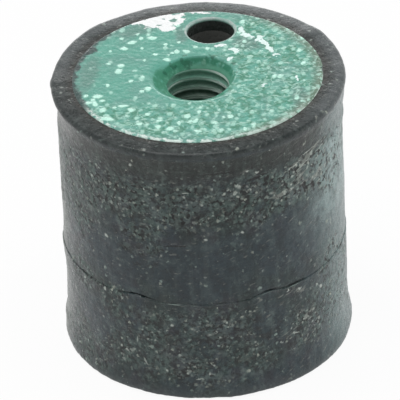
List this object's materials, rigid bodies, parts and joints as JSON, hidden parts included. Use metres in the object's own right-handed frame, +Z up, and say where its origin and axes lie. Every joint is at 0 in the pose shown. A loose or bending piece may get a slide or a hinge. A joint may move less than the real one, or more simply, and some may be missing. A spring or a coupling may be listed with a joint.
{
  "type": "rubber anti-vibration mount",
  "caption": "Cylindrical rubber anti-vibration mount, drawn in at the waist, with a bonded steel plate and a female thread at each end and a locating hole in the top plate.",
  "frame": {"origin": "centre of the bottom face, on the mount's axis", "axes": "+Z up the mount's axis, out of the top thread; +Y from the axis towards the locating hole"},
  "size_m": [0.04, 0.04, 0.04],
  "materials": {
    "rubber": "matt charcoal moulded rubber, dusty and scuffed",
    "painted_plate": "glossy grainy green paint with pale flecks and bare spots",
    "painted_bush": "thin green paint over machined steel, darker down the thread"
  },
  "bodies": {
    "root": {"rubber_body": "rubber", "top_plate": "painted_plate", "top_threaded_bush": "painted_bush", "bottom_plate": "painted_plate", "bottom_threaded_bush": "painted_bush"}
  },
  "joints": []
}
